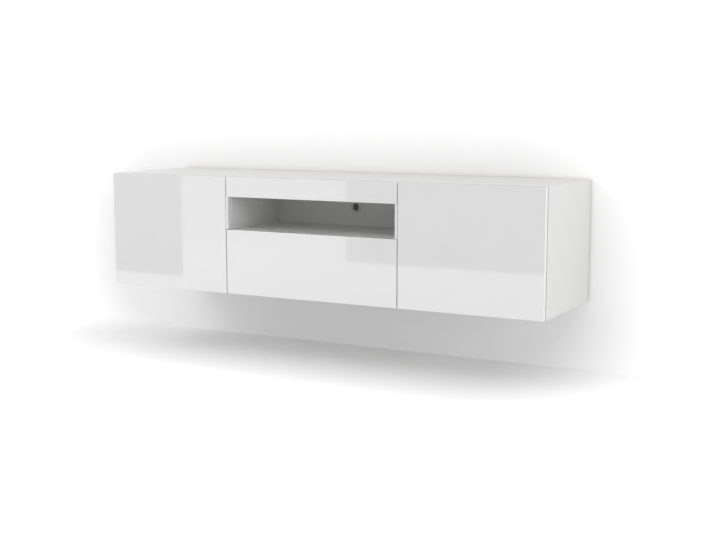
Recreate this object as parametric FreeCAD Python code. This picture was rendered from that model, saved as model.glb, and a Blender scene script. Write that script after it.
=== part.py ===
import FreeCAD, Part
import os
from FreeCAD import Vector

# Wall-hung media console without handles: a door at each end, and between them a fixed fascia
# over an open niche and a drawer. X runs along the wall, Y points into the wall and Z is up.
# The origin lies on the wall, in the middle of the hanging rail's back face. Sizes are in mm.

# Outside sizes, and how the front is divided
WIDTH = 1500.0
HEIGHT = 370.0
DEPTH = 400.0
CENTRE_BAY = 600.0          # between the middles of the two partitions
FASCIA_EDGE = 63.0          # from the top surface down to the fascia's lower edge
NICHE_OPENING = 103.0       # height of the niche's mouth

# Boards and their gaps
BOARD = 16.0                # carcass boards and shelves
FRONT_BOARD = 16.0          # doors, fascia and drawer front
FRONT_GAP = 3.0             # between neighbouring fronts
PUSH_GAP = 3.0              # behind the fronts, room to press them in
EDGE_REVEAL = 1.0           # fronts stay this far inside the outline
EDGE_ROUND = 0.8            # rounded edges of the lacquered boards
SHEET = 3.0                 # back panel, niche back and drawer bottom
SHEET_GROOVE = 7.0          # depth of the groove that holds a sheet
SHEET_FIT = 0.25            # play of a sheet in its groove
REAR_SPACE = 20.0           # behind the back panel, room for the rail
BACK_SCREW_END = 60.0       # from the top and bottom panels to the back panel's outer screws
FIT = 0.1                   # radial play of a fastener in its drilled hole

# Shelf in each side bay
SHELF_PLAY = 1.0
SHELF_SETBACK = 28.0
PIN_INSET = 60.0            # rows of pin holes, from the front edge and from the back panel
PIN_RADIUS = 2.5
PIN_LENGTH = 16.0
PIN_IN_BOARD = 8.0
PIN_STEP = 32.0             # height between the holes of a row
PIN_HOLES = 3

# Cam connectors and dowels
CAM_INSET = 100.0           # from the front edge and from the back panel
CAM_SETBACK = 34.0          # from the board's end to the middle of the cam
CAM_RADIUS = 7.4
CAM_DEPTH = 12.5
CAM_SLOT = 1.4
BOLT_RADIUS = 2.5
BOLT_THREAD = 11.0
BOLT_SHAFT_RADIUS = 3.0
BOLT_BORE_RADIUS = 3.5
BOLT_NECK_RADIUS = 1.8
BOLT_NECK = 5.0
BOLT_HEAD = 5.0
DOWEL_STEP = 32.0           # from a connector to the dowel beside it
DOWEL_RADIUS = 4.0
DOWEL_LENGTH = 30.0
DOWEL_IN_FACE = 12.0

# Pan-head screws
SCREW_RADIUS = 1.75
SCREW_HEAD_RADIUS = 3.5
SCREW_HEAD = 2.2
SCREW_BITE = 12.0           # length held by the board behind
SCREW_TIP = 3.0
SCREW_PASS_RADIUS = 2.1     # clearance hole in what is held
RECESS_WIDTH = 0.9
RECESS_LENGTH = 4.0
RECESS_DEPTH = 1.2

# Fascia rail, which carries the fascia under the top panel
RAIL_BOARD_HEIGHT = 44.0
RAIL_POCKET = 20.0          # depth of the pockets for its upright screws
RAIL_POCKET_RADIUS = 4.5
RAIL_SCREWS_AT = (130.0, 260.0)
FASCIA_SCREWS_AT = (60.0, 200.0)

# Space for cables behind the niche, with a lined hole from the niche and a window to the wall
CABLE_SPACE = 74.0          # between the niche's back and the back panel
CABLE_DROP = 106.0          # from the top surface to the middle of hole and window
CABLE_HOLE_RADIUS = 17.0
GROMMET_WALL = 3.0
GROMMET_RIM = 4.0
GROMMET_RIM_THICK = 2.5
GROMMET_LENGTH = 9.0
WINDOW_WIDTH = 160.0
WINDOW_HEIGHT = 60.0
WINDOW_ROUND = 12.0

# Hanging rail on the wall
HANG_DROP = 60.0            # from the top surface to the middle of the rail's back face
HANG_STEEL = 2.0
HANG_FLANGE = 22.0          # height of the strip that lies on the wall
HANG_RISE = 6.0             # height of the slanted step
HANG_STAND = 8.0            # clear space between lip and wall
HANG_LIP = 10.0
HANG_END = 4.0              # from the rail's end to the side panel
HANG_HOLE_RADIUS = 3.0
HANG_HOLE_END = 130.0       # from the rail's end to its outer hole

# Cabinet hangers on the side panels
HANGER_THICK = 20.0
HANGER_DEPTH = 60.0
HANGER_HEIGHT = 58.0
HANGER_TOP_PLAY = 2.0       # under the top panel
HANGER_LUG = 14.0
HANGER_LUG_THICK = 3.0
HANGER_ROUND = 2.0
HOOK_STEEL = 3.0
HOOK_PLAY = 0.3
HOOK_BAR = 11.0
HOOK_TOOTH = 7.0
HOOK_PLATE = 18.0           # length of the hook's plate inside the housing
HOOK_PLATE_DROP = 13.0
HOOK_WALL_GAP = 3.5
HOOK_LIP_PLAY = 0.5
HOOK_SLOT_PLAY = 6.0        # around the hook in the back panel
ADJUSTER_RADIUS = 3.0
ADJUSTER_HEAD_RADIUS = 4.2
ADJUSTER_HEAD = 3.0
ADJUSTER_STEP = 26.0

# Cup hinges with one pivot each, two to a door
HINGE_INSET = 80.0          # from the top and from the bottom of the console
HINGE_PIN_EDGE = 6.8        # from the door's outer edge to the pin
HINGE_PIN_DEPTH = 8.2       # from the door's back face to the pin
HINGE_PIN_RADIUS = 1.5
HINGE_PIN_FIT = 0.05
PIN_EAR_FIT = 0.02
CUP_EDGE = 3.0
CUP_RADIUS = 17.5
CUP_DEPTH = 12.5
CUP_WALL = 0.6
CUP_EAR = 1.5
CUP_EAR_RADIUS = 2.6
CUP_FLANGE = 1.2
CUP_FLANGE_BEFORE = 10.0
CUP_FLANGE_AFTER = 12.0
CUP_FLANGE_HALF = 30.0
CUP_SCREW_STEP = 48.0
CUP_SCREW_SHIFT = 5.0
EYE_RADIUS = 2.4
EYE_WIDTH = 7.0
EYE_PLAY = 0.7              # between the eye and the cup's ears
HOOK_THICK = 3.4
NECK_INNER = 7.0            # from the side panel's inner face to the arm's neck
NECK_THICK = 5.0
NECK_CORNER = 4.0
ARM_WIDTH = 12.0
ARM_FRONT = 14.0            # arm's body, measured back from the carcass front
ARM_REAR = 62.0
ARM_ROUND = 1.5
PLATE_THICK = 3.0
PLATE_FRONT = 20.0
PLATE_HALF = 8.0
WING_AT = 37.0
WING_DEPTH = 12.0
WING_HALF = 24.0
WING_SCREW_STEP = 32.0
TRIM_SCREWS_AT = (30.0, 52.0)
TRIM_SCREW_RADIUS = 2.5
TRIM_SCREW_LENGTH = 7.0
TRIM_SCREW_HEAD = 1.0

# Push latches: one at each door's free edge and one above each end of the drawer box
LATCH_PLATE = 2.0
LATCH_PLATE_HEIGHT = 30.0
LATCH_LENGTH = 76.0
LATCH_BODY = 12.0
LATCH_ROUND = 1.5
LATCH_SCREW_END = 20.0
LATCH_SCREW_HEIGHT = 22.0
LATCH_DROP = 24.0           # door latch, below the top panel
PLUNGER_RADIUS = 4.0
PLUNGER_PLAY = 0.3
PLUNGER_LENGTH = 55.0
PLUNGER_TOUCH = 0.2         # from the plunger to the strike when shut
STRIKE_RADIUS = 8.0
STRIKE_THICK = 1.0

# Drawer box and its telescopic runners
DRAWER_BOARD = 12.0
DRAWER_LENGTH = 350.0
DRAWER_LIFT = 14.0          # over the bottom panel
DRAWER_TOP_PLAY = 38.0      # under the niche floor, room for the latches
DRAWER_GROOVE_RISE = 10.0
DRAWER_GROOVE = 6.0
DRAWER_SCREW_EDGE = 20.0    # from the box's lower and upper edges
DRAWER_FRONT_SCREWS_AT = (90.0, 240.0)
RUNNER_SETBACK = 2.0
RUNNER_LENGTH = 350.0
RUNNER_THICK = 12.7
RUNNER_HEIGHT = 45.0
RUNNER_STEEL = 1.2
RUNNER_FLANGE = 9.5
MIDDLE_START = 1.8
MIDDLE_FLANGE = 8.8
MIDDLE_DROP = 3.1           # between the outer and the middle member, above and below
INNER_FLANGE = 5.1
INNER_DROP = 4.2            # between the middle and the inner member, above and below
GUIDE_LENGTH = 120.0
GUIDE_PLAY = 0.3
OUTER_GUIDE_START = 3.0
OUTER_GUIDE_WIDTH = 5.0
INNER_GUIDE_START = 8.0
INNER_GUIDE_WIDTH = 2.4
RUNNER_SCREW_END = 35.0

# Planes that several pieces share
TOP_Z = HANG_DROP
BOTTOM_Z = TOP_Z - HEIGHT
UNDER_TOP_Z = TOP_Z - BOARD
OVER_BOTTOM_Z = BOTTOM_Z + BOARD
FASCIA_Z = TOP_Z - FASCIA_EDGE
FLOOR_Z = FASCIA_Z - NICHE_OPENING
UNDER_FLOOR_Z = FLOOR_Z - BOARD
FACE_Y = -DEPTH
FRONT_BACK_Y = FACE_Y + FRONT_BOARD
CARCASS_Y = FRONT_BACK_Y + PUSH_GAP
SHEET_BACK_Y = -REAR_SPACE
SHEET_FRONT_Y = SHEET_BACK_Y - SHEET
NICHE_REAR_Y = SHEET_FRONT_Y - CABLE_SPACE
NICHE_BACK_Y = NICHE_REAR_Y - SHEET
CABLE_Z = TOP_Z - CABLE_DROP
SIDE_X = WIDTH / 2
SIDE_INNER_X = SIDE_X - BOARD
BAY_X = CENTRE_BAY / 2 + BOARD / 2
NICHE_X = CENTRE_BAY / 2 - BOARD / 2
DRAWER_Z = OVER_BOTTOM_Z + DRAWER_LIFT
DRAWER_TOP_Z = UNDER_FLOOR_Z - DRAWER_TOP_PLAY
DRAWER_MIDDLE_Z = (DRAWER_Z + DRAWER_TOP_Z) / 2
DRAWER_X = NICHE_X - RUNNER_THICK
DRAWER_INNER_X = DRAWER_X - DRAWER_BOARD
DRAWER_BACK_Y = FRONT_BACK_Y + DRAWER_LENGTH
SHELF_Z = (UNDER_TOP_Z + OVER_BOTTOM_Z) / 2
CAM_ROWS = ((CARCASS_Y + CAM_INSET, DOWEL_STEP), (SHEET_FRONT_Y - CAM_INSET, -DOWEL_STEP))
PIN_ROWS = (CARCASS_Y + PIN_INSET, SHEET_FRONT_Y - PIN_INSET)
HINGE_HEIGHTS = (TOP_Z - HINGE_INSET, BOTTOM_Z + HINGE_INSET)
RIGHT = Vector(1, 0, 0)
REAR = Vector(0, 1, 0)
UP = Vector(0, 0, 1)

# Only the right-hand half is drawn. Holes wait here, by board, until the board is cut.
holes = {}
cams = []
bolts = []
dowels = []
carcass_screws = []
door_screws = []
drawer_screws = []


def block(x, y, z):
    """A box between two limits along each axis."""
    low = Vector(min(x), min(y), min(z))
    return Part.makeBox(max(x) - min(x), max(y) - min(y), max(z) - min(z), low)


def rod(start, along, radius, length):
    """A round bar from a point, along a direction."""
    return Part.makeCylinder(radius, length, start, along)


def mirrored(shape):
    """The left-hand partner of a right-hand piece."""
    return shape.mirror(Vector(), RIGHT)


def both(solids):
    """Right-hand solids together with their left-hand partners."""
    return list(solids) + [mirrored(solid) for solid in solids]


def rounded(shape, radius, along=None):
    """Round all edges of a plain piece, or only those along one direction."""
    edges = shape.Edges
    if along is not None:
        edges = [e for e in edges if abs(e.tangentAt(e.FirstParameter).dot(along)) > 0.99]
    return shape.makeFillet(radius, edges)


def rounded_at(shape, radius, z):
    """Round the edges of a board that lie at one height."""
    edges = [e for e in shape.Edges if all(abs(v.Z - z) < FIT for v in e.Vertexes)]
    return shape.makeFillet(radius, edges)


def drill(board, cutter):
    """Keep a hole for a board until the board is cut."""
    holes.setdefault(board, []).append(cutter)


def drilled(board, shape, symmetric=False):
    """A board with its holes, and with their mirror images where it spans both halves."""
    cutters = holes.get(board, [])
    if symmetric:
        cutters = both(cutters)
    return shape.cut(cutters) if cutters else shape


def screw(seat, into, held):
    """A pan-head screw seated at a point, through what it holds and into the board behind."""
    length = held + SCREW_BITE
    shank = rod(Vector(), UP, SCREW_RADIUS, length - SCREW_TIP)
    tip = Part.makeCone(SCREW_RADIUS, SCREW_RADIUS / 5, SCREW_TIP, Vector(0, 0, length - SCREW_TIP), UP)
    head = rod(Vector(0, 0, -SCREW_HEAD), UP, SCREW_HEAD_RADIUS, SCREW_HEAD)
    head = rounded_at(head, SCREW_HEAD / 2, -SCREW_HEAD)
    solid = head.fuse([shank, tip])
    floor = (-SCREW_HEAD, -SCREW_HEAD + RECESS_DEPTH)
    wide = (-RECESS_LENGTH / 2, RECESS_LENGTH / 2)
    thin = (-RECESS_WIDTH / 2, RECESS_WIDTH / 2)
    solid = solid.cut([block(wide, thin, floor), block(thin, wide, floor)])
    solid.Placement = FreeCAD.Placement(seat, FreeCAD.Rotation(UP, into))
    return solid


def screw_hole(seat, into, held):
    """The hole that takes a screw's shank, in all the boards that it passes."""
    return rod(seat, into, SCREW_RADIUS + FIT, held + SCREW_BITE + FIT)


def cam_joint(joint, into, face, cam_board, bolt_board):
    """A cam lock and its bolt across the joint between a board's end and another board."""
    seat = joint + into * CAM_SETBACK
    mouth = seat + face * (BOARD / 2)
    drill(cam_board, rod(mouth, -face, CAM_RADIUS + FIT, CAM_DEPTH))
    drill(cam_board, rod(joint, into, BOLT_BORE_RADIUS, CAM_SETBACK))
    drill(bolt_board, rod(joint, -into, BOLT_RADIUS + FIT, BOLT_THREAD + FIT))

    shaft = CAM_SETBACK - BOLT_HEAD / 2 - BOLT_NECK
    thread = rod(joint - into * BOLT_THREAD, into, BOLT_RADIUS, BOLT_THREAD)
    body = rod(joint, into, BOLT_SHAFT_RADIUS, shaft)
    neck = rod(joint + into * shaft, into, BOLT_NECK_RADIUS, BOLT_NECK)
    head = rod(joint + into * (shaft + BOLT_NECK), into, BOLT_SHAFT_RADIUS, BOLT_HEAD)
    bolts.append(thread.fuse([body, neck, head]))

    cam = rod(mouth - face * FIT, -face, CAM_RADIUS, CAM_DEPTH - 2 * FIT)
    throat = rod(seat + into * (BOLT_HEAD / 2 + FIT), -into, BOLT_SHAFT_RADIUS + FIT, CAM_SETBACK)
    along = into * CAM_RADIUS
    across = into.cross(face) * (CAM_SLOT / 2)
    depth = face * CAM_SLOT
    corners = [mouth + along + across, mouth - along - across - depth - face * FIT]
    slot = block(*zip(*[(c.x, c.y, c.z) for c in corners]))
    cams.append(cam.cut([throat, slot]))


def dowel_joint(joint, into, end_board, face_board):
    """A wooden dowel across the same kind of joint."""
    drill(face_board, rod(joint, -into, DOWEL_RADIUS + FIT, DOWEL_IN_FACE + FIT))
    drill(end_board, rod(joint, into, DOWEL_RADIUS + FIT, DOWEL_LENGTH - DOWEL_IN_FACE + FIT))
    dowels.append(rod(joint - into * DOWEL_IN_FACE, into, DOWEL_RADIUS, DOWEL_LENGTH))


def join_boards():
    """Connectors of the uprights with the top and bottom, and of the niche floor with a partition."""
    uprights = (
        ("side_panel", SIDE_X - BOARD / 2, -RIGHT),
        ("partition", CENTRE_BAY / 2, RIGHT),
    )
    ends = (("top_panel", UNDER_TOP_Z, -UP), ("bottom_panel", OVER_BOTTOM_Z, UP))
    for y, step in CAM_ROWS:
        for upright, x, face in uprights:
            for panel, z, into in ends:
                cam_joint(Vector(x, y, z), into, face, upright, panel)
                dowel_joint(Vector(x, y + step, z), into, upright, panel)
        end = Vector(NICHE_X, y, FLOOR_Z - BOARD / 2)
        cam_joint(end, -RIGHT, -UP, "niche_floor", "partition")
        dowel_joint(end + REAR * step, -RIGHT, "niche_floor", "partition")


def shelf_and_pins():
    """A loose shelf on four pins, and the rows of holes that the pins can stand in."""
    faces = ((SIDE_INNER_X, RIGHT, "side_panel"), (BAY_X, -RIGHT, "partition"))
    pins = []
    for y in PIN_ROWS:
        for x, into, board in faces:
            for hole in range(PIN_HOLES):
                z = SHELF_Z - BOARD / 2 - PIN_RADIUS + (hole - PIN_HOLES // 2) * PIN_STEP
                start = Vector(x, y, z)
                drill(board, rod(start, into, PIN_RADIUS + FIT, PIN_IN_BOARD + FIT))
                if hole == PIN_HOLES // 2:
                    end = start - into * (PIN_LENGTH - PIN_IN_BOARD)
                    pins.append(rod(end, into, PIN_RADIUS, PIN_LENGTH))
    shelf = block(
        (BAY_X + SHELF_PLAY, SIDE_INNER_X - SHELF_PLAY),
        (CARCASS_Y + SHELF_SETBACK, SHEET_FRONT_Y - SHELF_PLAY),
        (SHELF_Z - BOARD / 2, SHELF_Z + BOARD / 2),
    )
    return shelf, pins


def carcass_boards():
    """Top, bottom, one side panel, one partition and the niche floor, before drilling."""
    sheet_y = (SHEET_FRONT_Y - SHEET_FIT, SHEET_BACK_Y + SHEET_FIT)
    sheet_x = (-SIDE_INNER_X - SHEET_GROOVE, SIDE_INNER_X + SHEET_GROOVE)
    sheet_z = (OVER_BOTTOM_Z - SHEET_GROOVE, UNDER_TOP_Z + SHEET_GROOVE)
    groove = block(sheet_x, sheet_y, sheet_z)
    niche_y = (NICHE_BACK_Y - SHEET_FIT, NICHE_REAR_Y + SHEET_FIT)
    niche_x = (-NICHE_X - SHEET_GROOVE, NICHE_X + SHEET_GROOVE)
    niche_z = (FLOOR_Z - SHEET_GROOVE, UNDER_TOP_Z + SHEET_GROOVE)
    niche_groove = block(niche_x, niche_y, niche_z)
    top = block((-SIDE_X, SIDE_X), (CARCASS_Y, 0), (UNDER_TOP_Z, TOP_Z))
    bottom = block((-SIDE_X, SIDE_X), (CARCASS_Y, 0), (BOTTOM_Z, OVER_BOTTOM_Z))
    side = block((SIDE_INNER_X, SIDE_X), (CARCASS_Y, 0), (OVER_BOTTOM_Z, UNDER_TOP_Z))
    between_y = (CARCASS_Y, SHEET_FRONT_Y)
    partition = block((NICHE_X, BAY_X), between_y, (OVER_BOTTOM_Z, UNDER_TOP_Z))
    floor = block((-NICHE_X, NICHE_X), between_y, (UNDER_FLOOR_Z, FLOOR_Z))
    return {
        "top_panel": rounded_at(top, EDGE_ROUND, TOP_Z).cut([groove, niche_groove]),
        "bottom_panel": rounded_at(bottom, EDGE_ROUND, BOTTOM_Z).cut(groove),
        "side_panel": side.cut(groove),
        "partition": partition.cut(niche_groove),
        "niche_floor": floor.cut(niche_groove),
    }


def back_panel():
    """The thin sheet in the grooves, with a window for cables and a slot for each hook."""
    reach = SHEET_GROOVE - SHEET_FIT
    sheet = block(
        (-SIDE_INNER_X - reach, SIDE_INNER_X + reach),
        (SHEET_FRONT_Y, SHEET_BACK_Y),
        (OVER_BOTTOM_Z - reach, UNDER_TOP_Z + reach),
    )
    for z in (UNDER_TOP_Z - BACK_SCREW_END, SHELF_Z, OVER_BOTTOM_Z + BACK_SCREW_END):
        seat = Vector(CENTRE_BAY / 2, SHEET_BACK_Y, z)
        drill("back_panel", screw_hole(seat, -REAR, SHEET))
        drill("partition", screw_hole(seat, -REAR, SHEET))
        carcass_screws.append(screw(seat, -REAR, SHEET))
    sheet = drilled("back_panel", sheet, symmetric=True)
    window = block(
        (-WINDOW_WIDTH / 2, WINDOW_WIDTH / 2),
        (SHEET_FRONT_Y, SHEET_BACK_Y),
        (CABLE_Z - WINDOW_HEIGHT / 2, CABLE_Z + WINDOW_HEIGHT / 2),
    )
    return sheet.cut(rounded(window, WINDOW_ROUND, REAR))


def niche_back():
    """The thin sheet behind the niche, in grooves of the boards around it, with the cable hole."""
    reach = SHEET_GROOVE - SHEET_FIT
    sheet = block(
        (-NICHE_X - reach, NICHE_X + reach),
        (NICHE_BACK_Y, NICHE_REAR_Y),
        (FLOOR_Z - reach, UNDER_TOP_Z + reach),
    )
    return sheet.cut(rod(Vector(0, NICHE_BACK_Y, CABLE_Z), REAR, CABLE_HOLE_RADIUS, SHEET))


def niche_strip():
    """The strip on a partition's front edge that brings the niche's wall forward to the fronts."""
    strip = block((NICHE_X, CENTRE_BAY / 2), (FACE_Y, CARCASS_Y), (FLOOR_Z + FRONT_GAP / 2, FASCIA_Z))
    return rounded(strip, EDGE_ROUND)


def cable_grommet():
    """The plastic ring that lines the cable hole, with its rim in the niche."""
    centre = Vector(0, NICHE_BACK_Y, CABLE_Z)
    sleeve = rod(centre, REAR, CABLE_HOLE_RADIUS - FIT, GROMMET_LENGTH)
    rim = rod(centre - REAR * GROMMET_RIM_THICK, REAR, CABLE_HOLE_RADIUS + GROMMET_RIM, GROMMET_RIM_THICK)
    outer = [e for e in rim.Edges if e.Length > 1 and all(v.Y < NICHE_BACK_Y - FIT for v in e.Vertexes)]
    rim = rim.makeFillet(GROMMET_RIM_THICK / 2, outer[:1])
    inside = rod(
        centre - REAR * GROMMET_RIM_THICK,
        REAR,
        CABLE_HOLE_RADIUS - FIT - GROMMET_WALL,
        GROMMET_RIM_THICK + GROMMET_LENGTH,
    )
    return sleeve.fuse(rim).removeSplitter().cut(inside)


def fascia_and_rail():
    """The fixed front over the niche, and the rail under the top panel that it is screwed to."""
    edge_x = CENTRE_BAY / 2 - FRONT_GAP / 2
    fascia = block((-edge_x, edge_x), (FACE_Y, FRONT_BACK_Y), (FASCIA_Z, TOP_Z - EDGE_REVEAL))
    fascia = rounded(fascia, EDGE_ROUND)
    rail_back_y = FRONT_BACK_Y + BOARD
    rail_z = UNDER_TOP_Z - RAIL_BOARD_HEIGHT
    rail = block((-NICHE_X, NICHE_X), (FRONT_BACK_Y, rail_back_y), (rail_z, UNDER_TOP_Z))
    for x in FASCIA_SCREWS_AT:
        seat = Vector(x, rail_back_y, UNDER_TOP_Z - RAIL_BOARD_HEIGHT / 2)
        drill("fascia_rail", screw_hole(seat, -REAR, BOARD))
        drill("niche_fascia", screw_hole(seat, -REAR, BOARD))
        carcass_screws.append(screw(seat, -REAR, BOARD))
    held = RAIL_BOARD_HEIGHT - RAIL_POCKET
    for x in RAIL_SCREWS_AT:
        pocket = Vector(x, FRONT_BACK_Y + BOARD / 2, rail_z)
        seat = pocket + UP * RAIL_POCKET
        drill("fascia_rail", rod(pocket, UP, RAIL_POCKET_RADIUS, RAIL_POCKET))
        drill("fascia_rail", screw_hole(seat, UP, held))
        drill("top_panel", screw_hole(seat, UP, held))
        carcass_screws.append(screw(seat, UP, held))
    return drilled("niche_fascia", fascia, True), drilled("fascia_rail", rail, True)


def wall_rail():
    """The stepped steel rail: a flange on the wall and a lip that stands off it."""
    low = -HANG_FLANGE / 2
    knee = HANG_FLANGE / 2
    lip = knee + HANG_RISE
    top = lip + HANG_LIP
    outer_y = -HANG_STAND - HANG_STEEL
    outline = [
        (0, low),
        (0, knee),
        (-HANG_STAND, lip),
        (-HANG_STAND, top),
        (outer_y, top),
        (outer_y, lip),
        (-HANG_STEEL, knee),
        (-HANG_STEEL, low),
        (0, low),
    ]
    length = 2 * (SIDE_INNER_X - HANG_END)
    face = Part.Face(Part.makePolygon([Vector(-length / 2, y, z) for y, z in outline]))
    rail = face.extrude(RIGHT * length)
    outer_x = length / 2 - HANG_HOLE_END
    for x in (-outer_x, -outer_x / 3, outer_x / 3, outer_x):
        rail = rail.cut(rod(Vector(x, -HANG_STEEL, 0), REAR, HANG_HOLE_RADIUS, HANG_STEEL))
    return rail


def hanger():
    """A hanger's plastic housing on the side panel, its steel hook over the rail, its two adjusters."""
    middle_x = SIDE_INNER_X - HANGER_THICK / 2
    top_z = UNDER_TOP_Z - HANGER_TOP_PLAY
    low_z = top_z - HANGER_HEIGHT
    front_y = SHEET_FRONT_Y - HANGER_DEPTH
    lip_z = HANG_FLANGE / 2 + HANG_RISE + HANG_LIP
    plate_rear = SHEET_FRONT_Y - HOOK_PLATE
    plate_front = plate_rear - HOOK_PLATE
    tooth_front = -HANG_STAND + HOOK_LIP_PLAY
    outline = [
        (plate_front, lip_z + HOOK_BAR),
        (-HOOK_WALL_GAP, lip_z + HOOK_BAR),
        (-HOOK_WALL_GAP, lip_z - HOOK_TOOTH),
        (tooth_front, lip_z - HOOK_TOOTH),
        (tooth_front, lip_z),
        (plate_rear, lip_z),
        (plate_rear, lip_z - HOOK_PLATE_DROP),
        (plate_front, lip_z - HOOK_PLATE_DROP),
        (plate_front, lip_z + HOOK_BAR),
    ]
    start_x = middle_x - HOOK_STEEL / 2
    face = Part.Face(Part.makePolygon([Vector(start_x, y, z) for y, z in outline]))
    hook = face.extrude(RIGHT * HOOK_STEEL)

    body = block((SIDE_INNER_X - HANGER_THICK, SIDE_INNER_X), (front_y, SHEET_FRONT_Y), (low_z, top_z))
    body = rounded(body, HANGER_ROUND, RIGHT)
    lug = block(
        (SIDE_INNER_X - HANGER_LUG_THICK, SIDE_INNER_X),
        (front_y - HANGER_LUG, SHEET_FRONT_Y),
        (low_z - HANGER_LUG, top_z),
    )
    housing = body.fuse(rounded(lug, HANGER_ROUND, RIGHT))
    half = HOOK_STEEL / 2 + HOOK_PLAY
    cavity = block(
        (middle_x - half, middle_x + half),
        (plate_front - HOOK_PLAY, SHEET_FRONT_Y),
        (lip_z - HOOK_PLATE_DROP - HOOK_PLAY, lip_z + HOOK_BAR + HOOK_PLAY),
    )
    cuts = [cavity]
    slot_half = HOOK_STEEL / 2 + HOOK_SLOT_PLAY
    drill("back_panel", block(
        (middle_x - slot_half, middle_x + slot_half),
        (SHEET_FRONT_Y, SHEET_BACK_Y),
        (lip_z - HOOK_PLATE_DROP, lip_z + HOOK_BAR + HOOK_SLOT_PLAY / 2),
    ))

    adjusters = []
    reach = plate_front - front_y - FIT
    for step in (-ADJUSTER_STEP / 2, ADJUSTER_STEP / 2):
        face = Vector(middle_x, front_y, (low_z + top_z) / 2 + step)
        cuts.append(rod(face, REAR, ADJUSTER_HEAD_RADIUS + FIT, ADJUSTER_HEAD))
        cuts.append(rod(face, REAR, ADJUSTER_RADIUS + FIT, reach))
        head = rod(face, REAR, ADJUSTER_HEAD_RADIUS, ADJUSTER_HEAD)
        shank = rod(face, REAR, ADJUSTER_RADIUS, reach - FIT)
        drive = (face.y, face.y + RECESS_DEPTH)
        wide = RECESS_LENGTH / 2
        thin = RECESS_WIDTH / 2
        flat = block((face.x - wide, face.x + wide), drive, (face.z - thin, face.z + thin))
        tall = block((face.x - thin, face.x + thin), drive, (face.z - wide, face.z + wide))
        adjusters.append(head.fuse(shank).cut([flat, tall]))

    lug_x = SIDE_INNER_X - HANGER_LUG_THICK
    seats = (
        Vector(lug_x, front_y - HANGER_LUG / 2, top_z - HANGER_LUG / 2),
        Vector(lug_x, front_y - HANGER_LUG / 2, low_z - HANGER_LUG / 2),
        Vector(lug_x, SHEET_FRONT_Y - HANGER_LUG / 2, low_z - HANGER_LUG / 2),
    )
    for seat in seats:
        cuts.append(rod(seat, RIGHT, SCREW_PASS_RADIUS, HANGER_LUG_THICK))
        drill("side_panel", screw_hole(seat, RIGHT, HANGER_LUG_THICK))
        carcass_screws.append(screw(seat, RIGHT, HANGER_LUG_THICK))
    return housing.removeSplitter().cut(cuts), hook, adjusters


def at_hinge(inward, outward, z):
    """A point given inward from the side panel's outer face and outward from the carcass front."""
    return Vector(SIDE_X - inward, CARCASS_Y - outward, z)


def hinge_block(inward, outward, z):
    """A box given by limits in the same terms."""
    return block([SIDE_X - a for a in inward], [CARCASS_Y - b for b in outward], z)


PIN_A = EDGE_REVEAL + HINGE_PIN_EDGE
PIN_B = PUSH_GAP + HINGE_PIN_DEPTH
CUP_A = EDGE_REVEAL + CUP_EDGE + CUP_RADIUS
NECK_A = BOARD + NECK_INNER
ARM_A = BOARD + PLATE_THICK


def hinge_arm(z):
    """The arm on the side panel: a body, a neck through the door gap and a hook to the pin's eye."""
    far = PIN_B + EYE_RADIUS
    near = far - HOOK_THICK
    half = EYE_WIDTH / 2
    outer_a = NECK_A + NECK_THICK
    neck = hinge_block((NECK_A, outer_a), (-ARM_REAR / 2, far), (z - half, z + half))
    corner = [
        e for e in neck.Edges
        if all(abs(v.X - SIDE_X + outer_a) < FIT and abs(v.Y - CARCASS_Y + far) < FIT for v in e.Vertexes)
    ]
    neck = neck.makeFillet(NECK_CORNER, corner)
    hook = hinge_block((PIN_A, outer_a - NECK_CORNER), (near, far), (z - half, z + half))
    eye = rod(at_hinge(PIN_A, PIN_B, z - half), UP, EYE_RADIUS, EYE_WIDTH)
    body = hinge_block((ARM_A, outer_a), (-ARM_REAR, -ARM_FRONT), (z - ARM_WIDTH / 2, z + ARM_WIDTH / 2))
    arm = rounded(body, ARM_ROUND, REAR).fuse([neck, hook, eye])
    bore = rod(at_hinge(PIN_A, PIN_B, z - half), UP, HINGE_PIN_RADIUS + HINGE_PIN_FIT, EYE_WIDTH)
    sockets = []
    trims = []
    for back in TRIM_SCREWS_AT:
        seat = at_hinge(outer_a, -back, z)
        sockets.append(rod(seat, RIGHT, TRIM_SCREW_RADIUS + FIT, TRIM_SCREW_LENGTH + FIT))
        end = seat - RIGHT * TRIM_SCREW_HEAD
        trim = rod(end, RIGHT, TRIM_SCREW_RADIUS, TRIM_SCREW_LENGTH + TRIM_SCREW_HEAD)
        drive = (end.x, end.x + RECESS_DEPTH)
        wide = RECESS_LENGTH / 2
        thin = RECESS_WIDTH / 2
        flat = block(drive, (seat.y - wide, seat.y + wide), (z - thin, z + thin))
        tall = block(drive, (seat.y - thin, seat.y + thin), (z - wide, z + wide))
        trims.append(trim.cut([flat, tall]))
    return arm.cut([bore] + sockets), trims


def hinge_plate(z):
    """The cross-shaped mounting plate between the arm and the side panel, with its two screws."""
    thick = (BOARD, ARM_A)
    base = hinge_block(thick, (-ARM_REAR, -PLATE_FRONT), (z - PLATE_HALF, z + PLATE_HALF))
    depth = (-WING_AT - WING_DEPTH / 2, -WING_AT + WING_DEPTH / 2)
    wing = hinge_block(thick, depth, (z - WING_HALF, z + WING_HALF))
    plate = base.fuse(rounded(wing, WING_DEPTH / 3, RIGHT)).removeSplitter()
    for step in (-WING_SCREW_STEP / 2, WING_SCREW_STEP / 2):
        seat = at_hinge(ARM_A, -WING_AT, z + step)
        plate = plate.cut(rod(seat, RIGHT, SCREW_PASS_RADIUS, PLATE_THICK))
        drill("side_panel", screw_hole(seat, RIGHT, PLATE_THICK))
        carcass_screws.append(screw(seat, RIGHT, PLATE_THICK))
    return plate


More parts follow.
